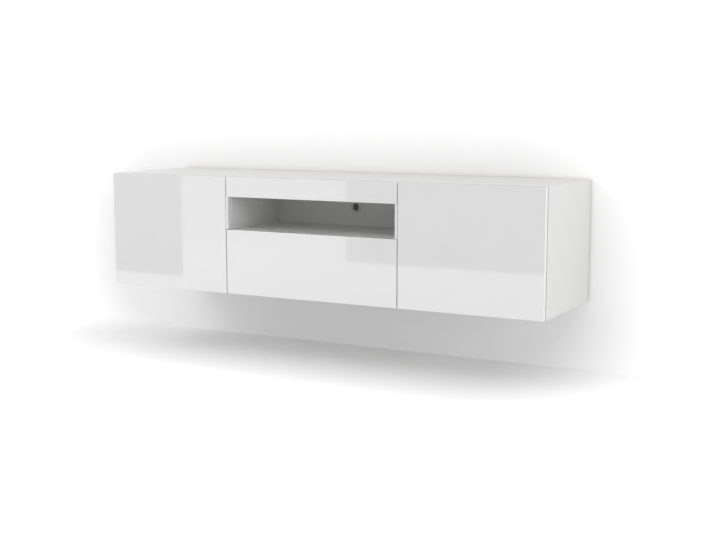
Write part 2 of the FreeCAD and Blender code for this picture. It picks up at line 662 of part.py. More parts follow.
def hinge_cup(z):
    """The steel cup in the door, with a screwed flange and two ears that hold the pin."""
    mouth = at_hinge(CUP_A, PUSH_GAP, z)
    drill("door", rod(mouth, -REAR, CUP_RADIUS + FIT, CUP_DEPTH + FIT))
    shell = rod(mouth, -REAR, CUP_RADIUS, CUP_DEPTH)
    flange = hinge_block(
        (CUP_A - CUP_FLANGE_BEFORE, CUP_A + CUP_FLANGE_AFTER),
        (PUSH_GAP - CUP_FLANGE, PUSH_GAP),
        (z - CUP_FLANGE_HALF, z + CUP_FLANGE_HALF),
    )
    flange = rounded(flange, CUP_FLANGE_BEFORE / 2, REAR)
    rim = mouth + REAR * CUP_FLANGE
    hollow = rod(rim, -REAR, CUP_RADIUS - CUP_WALL, CUP_DEPTH - CUP_WALL + CUP_FLANGE)
    cup = shell.fuse(flange).cut(hollow)

    ear_start = EYE_WIDTH / 2 + EYE_PLAY
    ears = []
    for low in (z + ear_start, z - ear_start - CUP_EAR):
        ear = rod(at_hinge(PIN_A, PIN_B, low), UP, CUP_EAR_RADIUS, CUP_EAR)
        foot = hinge_block(
            (PIN_A - CUP_EAR_RADIUS, PIN_A + CUP_EAR_RADIUS),
            (PIN_B, PUSH_GAP + CUP_DEPTH - CUP_WALL / 2),
            (low, low + CUP_EAR),
        )
        ears.append(ear.fuse(foot).common(shell))
    cup = cup.fuse(ears)
    pin_length = 2 * (ear_start + CUP_EAR)
    pin_start = at_hinge(PIN_A, PIN_B, z - pin_length / 2)
    pin = rod(pin_start, UP, HINGE_PIN_RADIUS, pin_length)
    cuts = [rod(pin_start, UP, HINGE_PIN_RADIUS + PIN_EAR_FIT, pin_length)]
    for step in (-CUP_SCREW_STEP / 2, CUP_SCREW_STEP / 2):
        seat = at_hinge(CUP_A + CUP_SCREW_SHIFT, PUSH_GAP - CUP_FLANGE, z + step)
        cuts.append(rod(seat, -REAR, SCREW_PASS_RADIUS, CUP_FLANGE))
        drill("door", screw_hole(seat, -REAR, CUP_FLANGE))
        door_screws.append(screw(seat, -REAR, CUP_FLANGE))
    return cup.cut(cuts), pin


def push_latch(face_x, into, z, board):
    """A push latch on a partition: the housing with its screws, the plunger and the strike disc."""
    body_x = face_x - into.x * (LATCH_PLATE + LATCH_BODY)
    axis_x = face_x - into.x * (LATCH_PLATE + LATCH_BODY / 2)
    length = (CARCASS_Y, CARCASS_Y + LATCH_LENGTH)
    plate_face = face_x - into.x * LATCH_PLATE
    half = LATCH_PLATE_HEIGHT / 2
    plate = rounded(block((face_x, plate_face), length, (z - half, z + half)), LATCH_ROUND, RIGHT)
    body = block((plate_face, body_x), length, (z - LATCH_BODY / 2, z + LATCH_BODY / 2))
    housing = plate.fuse(body).removeSplitter()
    axis = Vector(axis_x, CARCASS_Y, z)
    cuts = [rod(axis, REAR, PLUNGER_RADIUS + PLUNGER_PLAY, PLUNGER_LENGTH + PLUNGER_PLAY)]
    ends = (CARCASS_Y + LATCH_SCREW_END, CARCASS_Y + LATCH_LENGTH - LATCH_SCREW_END)
    for y, side in zip(ends, (-1, 1)):
        seat = Vector(plate_face, y, z + side * LATCH_SCREW_HEIGHT / 2)
        cuts.append(rod(seat, into, SCREW_PASS_RADIUS, LATCH_PLATE))
        drill(board, screw_hole(seat, into, LATCH_PLATE))
        carcass_screws.append(screw(seat, into, LATCH_PLATE))
    strike_y = FRONT_BACK_Y + STRIKE_THICK
    tip_y = strike_y + PLUNGER_TOUCH
    reach = PLUNGER_LENGTH + CARCASS_Y - tip_y
    plunger = rod(Vector(axis_x, tip_y, z), REAR, PLUNGER_RADIUS, reach)
    strike = rod(Vector(axis_x, FRONT_BACK_Y, z), REAR, STRIKE_RADIUS, STRIKE_THICK)
    return housing.cut(cuts), plunger, strike


def door():
    """The right door before drilling."""
    inner_x = CENTRE_BAY / 2 + FRONT_GAP / 2
    panel = block(
        (inner_x, SIDE_X - EDGE_REVEAL),
        (FACE_Y, FRONT_BACK_Y),
        (BOTTOM_Z + EDGE_REVEAL, TOP_Z - EDGE_REVEAL),
    )
    return rounded(panel, EDGE_ROUND)


def drawer_boards():
    """The drawer's front, and the box behind it with its bottom in grooves."""
    edge_x = CENTRE_BAY / 2 - FRONT_GAP / 2
    front = block((-edge_x, edge_x), (FACE_Y, FRONT_BACK_Y), (BOTTOM_Z + EDGE_REVEAL, FLOOR_Z))
    height = (DRAWER_Z, DRAWER_TOP_Z)
    wall_y = FRONT_BACK_Y + DRAWER_BOARD
    back_y = DRAWER_BACK_Y - DRAWER_BOARD
    side = block((DRAWER_INNER_X, DRAWER_X), (FRONT_BACK_Y, DRAWER_BACK_Y), height)
    wall = block((-DRAWER_INNER_X, DRAWER_INNER_X), (FRONT_BACK_Y, wall_y), height)
    back = block((-DRAWER_INNER_X, DRAWER_INNER_X), (back_y, DRAWER_BACK_Y), height)
    floor_z = DRAWER_Z + DRAWER_GROOVE_RISE
    groove = block(
        (-DRAWER_INNER_X - DRAWER_GROOVE, DRAWER_INNER_X + DRAWER_GROOVE),
        (wall_y - DRAWER_GROOVE, back_y + DRAWER_GROOVE),
        (floor_z - SHEET_FIT, floor_z + SHEET + SHEET_FIT),
    )
    reach = DRAWER_GROOVE - SHEET_FIT
    bottom = block(
        (-DRAWER_INNER_X - reach, DRAWER_INNER_X + reach),
        (wall_y - reach, back_y + reach),
        (floor_z, floor_z + SHEET),
    )
    held = DRAWER_BOARD - SCREW_HEAD
    for z in (DRAWER_Z + DRAWER_SCREW_EDGE, DRAWER_TOP_Z - DRAWER_SCREW_EDGE):
        for y, board in ((FRONT_BACK_Y, "drawer_box_front"), (back_y, "drawer_back")):
            seat = Vector(DRAWER_X - SCREW_HEAD, y + DRAWER_BOARD / 2, z)
            drill("drawer_side", rod(seat, RIGHT, SCREW_HEAD_RADIUS + FIT, SCREW_HEAD))
            drill("drawer_side", screw_hole(seat, -RIGHT, held))
            drill(board, screw_hole(seat, -RIGHT, held))
            drawer_screws.append(screw(seat, -RIGHT, held))
    for x in DRAWER_FRONT_SCREWS_AT:
        seat = Vector(x, wall_y, DRAWER_MIDDLE_Z)
        drill("drawer_box_front", screw_hole(seat, -REAR, DRAWER_BOARD))
        drill("drawer_front", screw_hole(seat, -REAR, DRAWER_BOARD))
        drawer_screws.append(screw(seat, -REAR, DRAWER_BOARD))
    return {
        "drawer_front": rounded(front, EDGE_ROUND),
        "drawer_box_front": wall.cut(groove),
        "drawer_side": side.cut(groove),
        "drawer_back": back.cut(groove),
        "drawer_bottom": bottom,
    }


def runner_bar(start, width, low, high, y=None):
    """A bar of the runner, from a distance off the partition and between two heights off its middle."""
    if y is None:
        y = (CARCASS_Y + RUNNER_SETBACK, CARCASS_Y + RUNNER_SETBACK + RUNNER_LENGTH)
    z = (DRAWER_MIDDLE_Z + low, DRAWER_MIDDLE_Z + high)
    return block((NICHE_X - start, NICHE_X - start - width), y, z)


def runner():
    """A telescopic runner: outer channel, middle member with its guides, inner channel on the drawer."""
    front_y = CARCASS_Y + RUNNER_SETBACK
    rear_y = front_y + RUNNER_LENGTH
    outer_half = RUNNER_HEIGHT / 2
    middle_half = outer_half - RUNNER_STEEL - MIDDLE_DROP
    inner_half = middle_half - RUNNER_STEEL - INNER_DROP
    inner_web = RUNNER_THICK - RUNNER_STEEL
    middle_web = MIDDLE_START + MIDDLE_FLANGE / 2 - RUNNER_STEEL / 2
    outer = runner_bar(0, RUNNER_STEEL, -outer_half, outer_half)
    middle = runner_bar(middle_web, RUNNER_STEEL, -middle_half, middle_half)
    inner = runner_bar(inner_web, RUNNER_STEEL, -inner_half, inner_half)
    guides = []
    for side in (-1, 1):
        edge = side * (outer_half - RUNNER_STEEL)
        outer = outer.fuse(runner_bar(0, RUNNER_FLANGE, side * outer_half, edge))
        edge = side * (middle_half - RUNNER_STEEL)
        middle = middle.fuse(runner_bar(MIDDLE_START, MIDDLE_FLANGE, side * middle_half, edge))
        inner_start = RUNNER_THICK - INNER_FLANGE
        edge = side * (inner_half - RUNNER_STEEL)
        inner = inner.fuse(runner_bar(inner_start, INNER_FLANGE, side * inner_half, edge))
        guides.append(runner_bar(
            OUTER_GUIDE_START,
            OUTER_GUIDE_WIDTH,
            side * middle_half,
            side * (outer_half - RUNNER_STEEL - GUIDE_PLAY),
            (rear_y - GUIDE_LENGTH, rear_y),
        ))
        guides.append(runner_bar(
            INNER_GUIDE_START,
            INNER_GUIDE_WIDTH,
            side * (inner_half + GUIDE_PLAY),
            side * (middle_half - RUNNER_STEEL),
            (front_y, front_y + GUIDE_LENGTH),
        ))
    outer = outer.removeSplitter()
    inner = inner.removeSplitter()
    for y in (front_y + RUNNER_SCREW_END, (front_y + rear_y) / 2, rear_y - RUNNER_SCREW_END):
        seat = Vector(NICHE_X - RUNNER_STEEL, y, DRAWER_MIDDLE_Z)
        outer = outer.cut(rod(seat, RIGHT, SCREW_PASS_RADIUS, RUNNER_STEEL))
        drill("partition", screw_hole(seat, RIGHT, RUNNER_STEEL))
        carcass_screws.append(screw(seat, RIGHT, RUNNER_STEEL))
        seat = Vector(DRAWER_X + RUNNER_STEEL, y, DRAWER_MIDDLE_Z)
        bite = DRAWER_BOARD - SCREW_BITE - SCREW_TIP + RUNNER_STEEL
        inner = inner.cut(rod(seat, -RIGHT, SCREW_PASS_RADIUS, RUNNER_STEEL))
        drill("drawer_side", screw_hole(seat, -RIGHT, bite))
        drawer_screws.append(screw(seat, -RIGHT, bite))
    return outer, [middle.removeSplitter()] + guides, inner


def build():
    """All nodes by name, each a list of its solids."""
    nodes = {}

    def pair(name, solids):
        nodes["right_" + name] = list(solids)
        nodes["left_" + name] = [mirrored(solid) for solid in solids]

    join_boards()
    shelf, pins = shelf_and_pins()
    fascia, fascia_rail = fascia_and_rail()
    housing, hook, adjusters = hanger()
    plates = [hinge_plate(z) for z in HINGE_HEIGHTS]
    arms = [hinge_arm(z) for z in HINGE_HEIGHTS]
    cups = [hinge_cup(z) for z in HINGE_HEIGHTS]
    door_latch = push_latch(BAY_X, -RIGHT, UNDER_TOP_Z - LATCH_DROP, "partition")
    drawer_latch_z = (DRAWER_TOP_Z + UNDER_FLOOR_Z) / 2
    drawer_latch = push_latch(NICHE_X, RIGHT, drawer_latch_z, "partition")
    drawer = drawer_boards()
    outer, middle, inner = runner()
    sheet = back_panel()

    boards = carcass_boards()
    for name in ("top_panel", "bottom_panel", "niche_floor"):
        nodes[name] = [drilled(name, boards[name], symmetric=True)]
    for name in ("side_panel", "partition"):
        pair(name, [drilled(name, boards[name])])
    nodes["back_panel"] = [sheet]
    nodes["niche_back"] = [niche_back()]
    nodes["cable_grommet"] = [cable_grommet()]
    nodes["niche_strips"] = both([niche_strip()])
    nodes["niche_fascia"] = [fascia]
    nodes["fascia_rail"] = [fascia_rail]
    pair("shelf", [shelf])
    nodes["shelf_pins"] = both(pins)
    nodes["cam_locks"] = both(cams)
    nodes["cam_bolts"] = both(bolts)
    nodes["dowels"] = both(dowels)
    nodes["carcass_screws"] = both(carcass_screws)

    nodes["wall_rail"] = [wall_rail()]
    pair("hanger_housing", [housing])
    nodes["hanger_hooks"] = both([hook])
    nodes["hanger_adjusters"] = both(adjusters)

    pair("door_panel", [drilled("door", door())])
    pair("hinge_cups", [cup for cup, pin in cups])
    pair("hinge_pins", [pin for cup, pin in cups])
    pair("hinge_arms", [arm for arm, trims in arms])
    pair("hinge_plates", plates)
    nodes["hinge_trim_screws"] = both([trim for arm, trims in arms for trim in trims])
    pair("door_screws", door_screws)
    for name, solid in zip(("latch_housing", "latch_plunger", "strike_disc"), door_latch):
        pair(name, [solid])
    for name, solid in zip(("latch_housings", "latch_plungers", "strike_discs"), drawer_latch):
        nodes["drawer_" + name] = both([solid])

    side = drilled("drawer_side", drawer.pop("drawer_side"))
    nodes["drawer_right_side"] = [side]
    nodes["drawer_left_side"] = [mirrored(side)]
    for name, shape in drawer.items():
        nodes[name] = [drilled(name, shape, symmetric=True)]
    nodes["drawer_screws"] = both(drawer_screws)
    pair("runner_outer", [outer])
    pair("runner_middle", middle)
    pair("runner_inner", [inner])
    return nodes


def save(nodes):
    """One STEP file per node."""
    os.makedirs("parts", exist_ok=True)
    for name, shapes in nodes.items():
        solids = [solid for shape in shapes for solid in shape.Solids]
        shape = solids[0] if len(solids) == 1 else Part.makeCompound(solids)
        shape.exportStep("parts/" + name + ".step")


save(build())
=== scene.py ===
import math

import bmesh
import bpy
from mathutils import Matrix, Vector


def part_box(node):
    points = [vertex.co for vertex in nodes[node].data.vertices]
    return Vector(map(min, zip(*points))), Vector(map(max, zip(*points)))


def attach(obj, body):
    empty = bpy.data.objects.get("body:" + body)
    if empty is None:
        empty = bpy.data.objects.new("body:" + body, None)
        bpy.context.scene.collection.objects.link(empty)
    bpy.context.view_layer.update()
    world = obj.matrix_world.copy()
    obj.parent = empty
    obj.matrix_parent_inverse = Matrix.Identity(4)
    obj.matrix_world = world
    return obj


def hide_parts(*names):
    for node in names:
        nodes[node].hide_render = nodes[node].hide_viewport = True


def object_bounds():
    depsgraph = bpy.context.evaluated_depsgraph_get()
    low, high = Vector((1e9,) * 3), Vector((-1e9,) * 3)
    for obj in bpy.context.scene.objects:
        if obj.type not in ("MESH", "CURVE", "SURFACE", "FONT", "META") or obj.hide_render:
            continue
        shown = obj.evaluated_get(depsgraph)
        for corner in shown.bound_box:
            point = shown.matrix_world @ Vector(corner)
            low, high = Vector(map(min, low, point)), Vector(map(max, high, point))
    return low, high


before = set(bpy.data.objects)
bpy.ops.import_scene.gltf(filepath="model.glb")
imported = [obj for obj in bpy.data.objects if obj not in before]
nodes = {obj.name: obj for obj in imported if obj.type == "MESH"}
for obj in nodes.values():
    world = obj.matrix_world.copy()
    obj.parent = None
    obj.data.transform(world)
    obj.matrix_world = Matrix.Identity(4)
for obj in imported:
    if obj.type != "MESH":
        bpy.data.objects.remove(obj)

# The frame: the console as it was measured and built, hung with its back on the plane y = 0.
# Everything below dresses those pieces or adds to them, in metres.
MM = 0.001
cad_low, cad_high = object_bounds()


# Carcass boards: top, bottom, sides, partitions and niche floor, sawn from chipboard with white
# melamine paper pressed on both faces. A white plastic band is glued to the edges that show, the
# rear edges are left raw, and the boards stand on each other with dowels and cam connectors.
CARCASS_BOARDS = (
    "top_panel",
    "bottom_panel",
    "left_side_panel",
    "right_side_panel",
    "left_partition",
    "right_partition",
    "niche_floor",
)
BOARD_WHITE = "#E5E5E4"
BOARD_WHITE_SHADED = "#E2E2E1"
BAND_JOINT = "#C9C8C4"
CHIP_LIGHT = "#B99A6E"
CHIP_DARK = "#86643F"
PAPER = 0.25 * MM             # melamine paper, after which the raw chips begin
BAND_THICK = 1.0 * MM
BAND_JOINT_WIDTH = 0.2 * MM   # a real joint is finer and wouldn't show
PEARL = 0.9 * MM              # real pearling is about 0.3 mm and wouldn't show
PEARL_DEPTH = 0.02 * MM
PEARL_STRENGTH = 0.25
SATIN = (0.30, 0.40)          # roughness, from its smoothest to its roughest
CHIP = 1.6 * MM
TONE_DRIFT = 140 * MM


def srgb(code):
    """A colour written as sRGB hex, as linear red, green, blue and alpha."""
    shares = [int(code[i:i + 2], 16) / 255 for i in (1, 3, 5)]
    return [s / 12.92 if s <= 0.04045 else ((s + 0.055) / 1.055) ** 2.4 for s in shares] + [1.0]


def add(tree, kind, inputs=None, **settings):
    """Add a node, make its settings, and set or link its inputs."""
    node = tree.nodes.new(kind)
    for name, value in settings.items():
        setattr(node, name, value)
    for key, value in (inputs or {}).items():
        if isinstance(value, bpy.types.NodeSocket):
            tree.links.new(value, node.inputs[key])
        else:
            node.inputs[key].default_value = value
    return node


def finish_called(name, **shader_values):
    """A new material: its tree, its shader with the plain values set, and the object's coordinates."""
    material = bpy.data.materials.new(name)
    material.use_nodes = True
    tree = material.node_tree
    shader = tree.nodes["Principled BSDF"]
    for socket, value in shader_values.items():
        shader.inputs[socket.replace("_", " ")].default_value = value
    return material, tree, shader, add(tree, "ShaderNodeTexCoord").outputs["Object"]


def dress(material, *names):
    """Give CAD nodes a finish."""
    for name in names:
        nodes[name].material_slots[0].material = material


def melamine(name, raw_rear=False):
    """Melamine on chipboard: satin white, faintly pearled, a hairline at the band, raw chips in holes
    and, where it is left raw, on the rear edge."""
    low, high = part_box(name)
    material, tree, shader, place = finish_called("melamine_chipboard_" + name, Specular_IOR_Level=0.5)
    drift = add(tree, "ShaderNodeTexNoise", {"Vector": place, "Scale": 1 / TONE_DRIFT, "Detail": 2.0})
    pearl = add(tree, "ShaderNodeTexNoise", {"Vector": place, "Scale": 1 / PEARL, "Detail": 1.0})
    chips = add(tree, "ShaderNodeTexVoronoi", {"Vector": place, "Scale": 1 / CHIP})
    paper = add(
        tree, "ShaderNodeMix",
        {0: drift.outputs["Fac"], 6: srgb(BOARD_WHITE), 7: srgb(BOARD_WHITE_SHADED)},
        data_type="RGBA",
    )
    core = add(
        tree, "ShaderNodeMix",
        {0: chips.outputs["Distance"], 6: srgb(CHIP_LIGHT), 7: srgb(CHIP_DARK)},
        data_type="RGBA",
    )
    from_low = add(tree, "ShaderNodeVectorMath", {0: place, 1: low}, operation="SUBTRACT")
    from_high = add(tree, "ShaderNodeVectorMath", {0: high, 1: place}, operation="SUBTRACT")
    nearest = add(
        tree, "ShaderNodeVectorMath",
        {0: from_low.outputs["Vector"], 1: from_high.outputs["Vector"]},
        operation="MINIMUM",
    )
    inward = add(tree, "ShaderNodeSeparateXYZ", {0: nearest.outputs["Vector"]})
    inner = add(
        tree, "ShaderNodeMath", {0: inward.outputs["X"], 1: inward.outputs["Y"]}, operation="MINIMUM"
    )
    depth = add(
        tree, "ShaderNodeMath", {0: inner.outputs[0], 1: inward.outputs["Z"]}, operation="MINIMUM"
    )
    cut = add(tree, "ShaderNodeMath", {0: depth.outputs[0], 1: PAPER}, operation="GREATER_THAN")
    before = add(tree, "ShaderNodeSeparateXYZ", {0: from_high.outputs["Vector"]})
    skin = PAPER if raw_rear else -PAPER
    rear = add(tree, "ShaderNodeMath", {0: before.outputs["Y"], 1: skin}, operation="LESS_THAN")
    raw = add(tree, "ShaderNodeMath", {0: cut.outputs[0], 1: rear.outputs[0]}, operation="MAXIMUM")
    behind = add(tree, "ShaderNodeSeparateXYZ", {0: from_low.outputs["Vector"]})
    joint = add(
        tree, "ShaderNodeMath",
        {0: behind.outputs["Y"], 1: BAND_THICK, 2: BAND_JOINT_WIDTH / 2},
        operation="COMPARE",
    )
    banded = add(
        tree, "ShaderNodeMix",
        {0: joint.outputs[0], 6: paper.outputs[2], 7: srgb(BAND_JOINT)},
        data_type="RGBA",
    )
    colour = add(
        tree, "ShaderNodeMix",
        {0: raw.outputs[0], 6: banded.outputs[2], 7: core.outputs[2]},
        data_type="RGBA",
    )
    satin = add(
        tree, "ShaderNodeMapRange",
        {"Value": pearl.outputs["Fac"], "To Min": SATIN[0], "To Max": SATIN[1]},
    )
    relief = add(
        tree, "ShaderNodeBump",
        {"Height": pearl.outputs["Fac"], "Strength": PEARL_STRENGTH, "Distance": PEARL_DEPTH},
    )
    tree.links.new(colour.outputs[2], shader.inputs["Base Color"])
    tree.links.new(satin.outputs["Result"], shader.inputs["Roughness"])
    tree.links.new(relief.outputs["Normal"], shader.inputs["Normal"])
    return material


for board in CARCASS_BOARDS:
    dress(melamine(board, raw_rear=True), board)


# Dowels: turned beech pins with pressed flutes, glued into the board ends beside the connectors.
# The wood is pale and dry, with short darker flecks along the grain.
BEECH_LIGHT = "#D9B98C"
BEECH_DARK = "#BC9462"
BEECH_FLECK = 1.2 * MM
BEECH_STRETCH = (1.0, 1.0, 0.12)

beech, tree, shader, place = finish_called("turned_beech", Roughness=0.62)
along_grain = add(tree, "ShaderNodeMapping", {"Vector": place, "Scale": BEECH_STRETCH})
fleck = add(
    tree, "ShaderNodeTexNoise",
    {"Vector": along_grain.outputs["Vector"], "Scale": 1 / BEECH_FLECK, "Detail": 3.0},
)
grain = add(
    tree, "ShaderNodeMix",
    {0: fleck.outputs["Fac"], 6: srgb(BEECH_LIGHT), 7: srgb(BEECH_DARK)},
    data_type="RGBA",
)
tree.links.new(grain.outputs[2], shader.inputs["Base Color"])
dress(beech, "dowels")


# Cam locks and their bolts: die-cast zinc barrels that a quarter turn draws on to steel bolts.
# The casting is dull grey, with a slightly grainy skin.
CAST_ZINC = "#A9ABAE"
CAST_ZINC_DARK = "#8E9094"
CASTING_GRAIN = 0.8 * MM
METAL_RELIEF = 0.01 * MM
METAL_STRENGTH = 0.2


def metal(name, light, dark, grain, smoothest, roughest, stretch=(1.0, 1.0, 1.0)):
    """A bare or plated metal, mottled at the size of its grain or along its rolling direction."""
    material, tree, shader, place = finish_called(name, Metallic=1.0)
    along = add(tree, "ShaderNodeMapping", {"Vector": place, "Scale": stretch})
    mottle = add(
        tree, "ShaderNodeTexNoise",
        {"Vector": along.outputs["Vector"], "Scale": 1 / grain, "Detail": 3.0},
    )
    colour = add(
        tree, "ShaderNodeMix",
        {0: mottle.outputs["Fac"], 6: srgb(light), 7: srgb(dark)},
        data_type="RGBA",
    )
    polish = add(
        tree, "ShaderNodeMapRange",
        {"Value": mottle.outputs["Fac"], "To Min": smoothest, "To Max": roughest},
    )
    relief = add(
        tree, "ShaderNodeBump",
        {"Height": mottle.outputs["Fac"], "Strength": METAL_STRENGTH, "Distance": METAL_RELIEF},
    )
    tree.links.new(colour.outputs[2], shader.inputs["Base Color"])
    tree.links.new(polish.outputs["Result"], shader.inputs["Roughness"])
    tree.links.new(relief.outputs["Normal"], shader.inputs["Normal"])
    return material


dress(
    metal("die_cast_zinc", CAST_ZINC, CAST_ZINC_DARK, CASTING_GRAIN, smoothest=0.38, roughest=0.50),
    "cam_locks",
)


# Screws, connector bolts, shelf pins and strike discs: turned or stamped steel with bright zinc
# plating, which leaves a bluish silver with soft cloudy patches.
PLATED = "#C9CCD1"
PLATED_DULL = "#AEB2B8"
PLATING_CLOUD = 3.0 * MM

bright_zinc = metal(
    "bright_zinc_plated_steel", PLATED, PLATED_DULL, PLATING_CLOUD, smoothest=0.22, roughest=0.36
)
dress(
    bright_zinc,
    "cam_bolts",
    "carcass_screws",
    "left_door_screws",
    "right_door_screws",
    "drawer_screws",
    "shelf_pins",
    "left_strike_disc",
    "right_strike_disc",
    "drawer_strike_discs",
)


# Back panel and niche back: 3 mm hardboard sheets slid into grooves, the back panel also screwed to
# the partitions. The side to the room is printed white, and the other side and all cut edges are
# bare brown fibre.
SHEET_WHITE = "#E4E4E3"
SHEET_WHITE_SHADED = "#E0E0DF"
FIBRE_LIGHT = "#A07D58"
FIBRE_DARK = "#7E5D3F"
FIBRE = 3.0 * MM              # real strands are about 1 mm and wouldn't show
FIBRE_CONTRAST = (0.3, 0.7)
FIBRE_ROUGHNESS = 0.75
SCREEN_PITCH = 4.0 * MM       # the press screen's real mesh is about 1.5 mm and wouldn't show
SCREEN_DEPTH = 0.2 * MM
SCREEN_STRENGTH = 0.6
PRINT = 0.2 * MM
PRINT_ROUGHNESS = 0.38


def hardboard(name, printed_side):
    """Hardboard with one printed face: smooth white there, and on the rest matted brown fibre with the
    mark of the press screen."""
    low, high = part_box(name)
    axis = "XYZ"[max(range(3), key=lambda i: abs(printed_side[i]))]
    face = high if sum(printed_side) > 0 else low
    material, tree, shader, place = finish_called("hardboard_" + name)
    drift = add(tree, "ShaderNodeTexNoise", {"Vector": place, "Scale": 1 / TONE_DRIFT, "Detail": 2.0})
    strands = add(
        tree, "ShaderNodeTexNoise",
        {"Vector": place, "Scale": 1 / FIBRE, "Detail": 5.0, "Distortion": 1.0},
    )
    matting = add(
        tree, "ShaderNodeMapRange",
        {"Value": strands.outputs["Fac"], "From Min": FIBRE_CONTRAST[0], "From Max": FIBRE_CONTRAST[1]},
    )
    pitches = add(tree, "ShaderNodeMapping", {"Vector": place, "Scale": [math.tau / SCREEN_PITCH] * 3})
    wires = add(tree, "ShaderNodeVectorMath", {0: pitches.outputs["Vector"]}, operation="SINE")
    screen = add(tree, "ShaderNodeVectorMath", {0: wires.outputs["Vector"]}, operation="LENGTH")
    offset = add(tree, "ShaderNodeVectorMath", {0: place, 1: face}, operation="SUBTRACT")
    apart = add(tree, "ShaderNodeSeparateXYZ", {0: offset.outputs["Vector"]})
    depth = add(tree, "ShaderNodeMath", {0: apart.outputs[axis]}, operation="ABSOLUTE")
    bare = add(tree, "ShaderNodeMath", {0: depth.outputs[0], 1: PRINT}, operation="GREATER_THAN")
    printed = add(
        tree, "ShaderNodeMix",
        {0: drift.outputs["Fac"], 6: srgb(SHEET_WHITE), 7: srgb(SHEET_WHITE_SHADED)},
        data_type="RGBA",
    )
    fibre = add(
        tree, "ShaderNodeMix",
        {0: matting.outputs["Result"], 6: srgb(FIBRE_LIGHT), 7: srgb(FIBRE_DARK)},
        data_type="RGBA",
    )
    colour = add(
        tree, "ShaderNodeMix",
        {0: bare.outputs[0], 6: printed.outputs[2], 7: fibre.outputs[2]},
        data_type="RGBA",
    )
    dull = add(
        tree, "ShaderNodeMapRange",
        {"Value": bare.outputs[0], "To Min": PRINT_ROUGHNESS, "To Max": FIBRE_ROUGHNESS},
    )
    pressed = add(
        tree, "ShaderNodeMath", {0: screen.outputs["Value"], 1: bare.outputs[0]}, operation="MULTIPLY"
    )
    relief = add(
        tree, "ShaderNodeBump",
        {"Height": pressed.outputs[0], "Strength": SCREEN_STRENGTH, "Distance": SCREEN_DEPTH},
    )
    tree.links.new(colour.outputs[2], shader.inputs["Base Color"])
    tree.links.new(dull.outputs["Result"], shader.inputs["Roughness"])
    tree.links.new(relief.outputs["Normal"], shader.inputs["Normal"])
    return material


for sheet in ("back_panel", "niche_back"):
    dress(hardboard(sheet, (0, -1, 0)), sheet)


# Cable grommet and hanger housings: white plastic mouldings with a fine spark-eroded texture, which
# looks even and half matt. The grommet is pressed into the sheet's hole, and each housing is screwed
# to its side panel.
MOULDED_WHITE = "#E3E3E0"
MOULDED_WHITE_SHADED = "#D9D9D5"
SPARK_GRAIN = 0.7 * MM
SPARK_DEPTH = 0.03 * MM
SPARK_STRENGTH = 0.3


def moulded(name, light, dark, roughness):
    """A moulded plastic with an even, fine-grained skin."""
    material, tree, shader, place = finish_called(name, Roughness=roughness)
    grain = add(tree, "ShaderNodeTexNoise", {"Vector": place, "Scale": 1 / SPARK_GRAIN, "Detail": 2.0})
    colour = add(
        tree, "ShaderNodeMix", {0: grain.outputs["Fac"], 6: srgb(light), 7: srgb(dark)}, data_type="RGBA"
    )
    relief = add(
        tree, "ShaderNodeBump",
        {"Height": grain.outputs["Fac"], "Strength": SPARK_STRENGTH, "Distance": SPARK_DEPTH},
    )
    tree.links.new(colour.outputs[2], shader.inputs["Base Color"])
    tree.links.new(relief.outputs["Normal"], shader.inputs["Normal"])
    return material


moulded_white = moulded("moulded_white_abs", MOULDED_WHITE, MOULDED_WHITE_SHADED, roughness=0.45)
dress(moulded_white, "cable_grommet", "left_hanger_housing", "right_hanger_housing")


# Hooks, their adjusting screws and the hanging rail: pressed steel strip, zinc plated. The rail is
# rolled, so its plating is streaked along its length, and it is screwed to the wall.
ROLLED = "#BFC2C6"
ROLLED_DULL = "#A3A7AD"
ROLLING_STREAK = 1.5 * MM
STREAK_ALONG_X = (0.03, 1.0, 1.0)

dress(bright_zinc, "hanger_hooks", "hanger_adjusters")
rail_steel = metal(
    "rolled_zinc_plated_steel", ROLLED, ROLLED_DULL, ROLLING_STREAK,
    smoothest=0.30, roughest=0.45, stretch=STREAK_ALONG_X,
)
dress(rail_steel, "wall_rail")


# Fronts: the fascia over the niche, the strips beside it, the doors and the drawer front, in
# fibreboard sprayed white and polished, which mirrors the room sharply with a faint waviness. The
# fascia is screwed to a rail behind it, and the strips are glued to the partitions.
FRONTS = ("niche_fascia", "niche_strips", "left_door_panel", "right_door_panel", "drawer_front")
LACQUER = "#EEEEEE"
LACQUER_SHADED = "#ECECEC"
ORANGE_PEEL = 5.0 * MM
PEEL_DEPTH = 0.01 * MM
PEEL_STRENGTH = 0.3
POLISHING_HAZE = 60 * MM
POLISH = (0.04, 0.10)         # roughness, from its smoothest to its roughest

lacquer, tree, shader, place = finish_called(
    "white_gloss_lacquer", Coat_Weight=1.0, Coat_Roughness=0.02, Coat_IOR=1.55
)
drift = add(tree, "ShaderNodeTexNoise", {"Vector": place, "Scale": 1 / TONE_DRIFT, "Detail": 2.0})
tone = add(
    tree, "ShaderNodeMix",
    {0: drift.outputs["Fac"], 6: srgb(LACQUER), 7: srgb(LACQUER_SHADED)},
    data_type="RGBA",
)
haze = add(tree, "ShaderNodeTexNoise", {"Vector": place, "Scale": 1 / POLISHING_HAZE, "Detail": 3.0})
gloss = add(
    tree, "ShaderNodeMapRange", {"Value": haze.outputs["Fac"], "To Min": POLISH[0], "To Max": POLISH[1]}
)
peel = add(tree, "ShaderNodeTexNoise", {"Vector": place, "Scale": 1 / ORANGE_PEEL, "Detail": 1.0})
relief = add(
    tree, "ShaderNodeBump",
    {"Height": peel.outputs["Fac"], "Strength": PEEL_STRENGTH, "Distance": PEEL_DEPTH},
)
tree.links.new(tone.outputs[2], shader.inputs["Base Color"])
tree.links.new(gloss.outputs["Result"], shader.inputs["Roughness"])
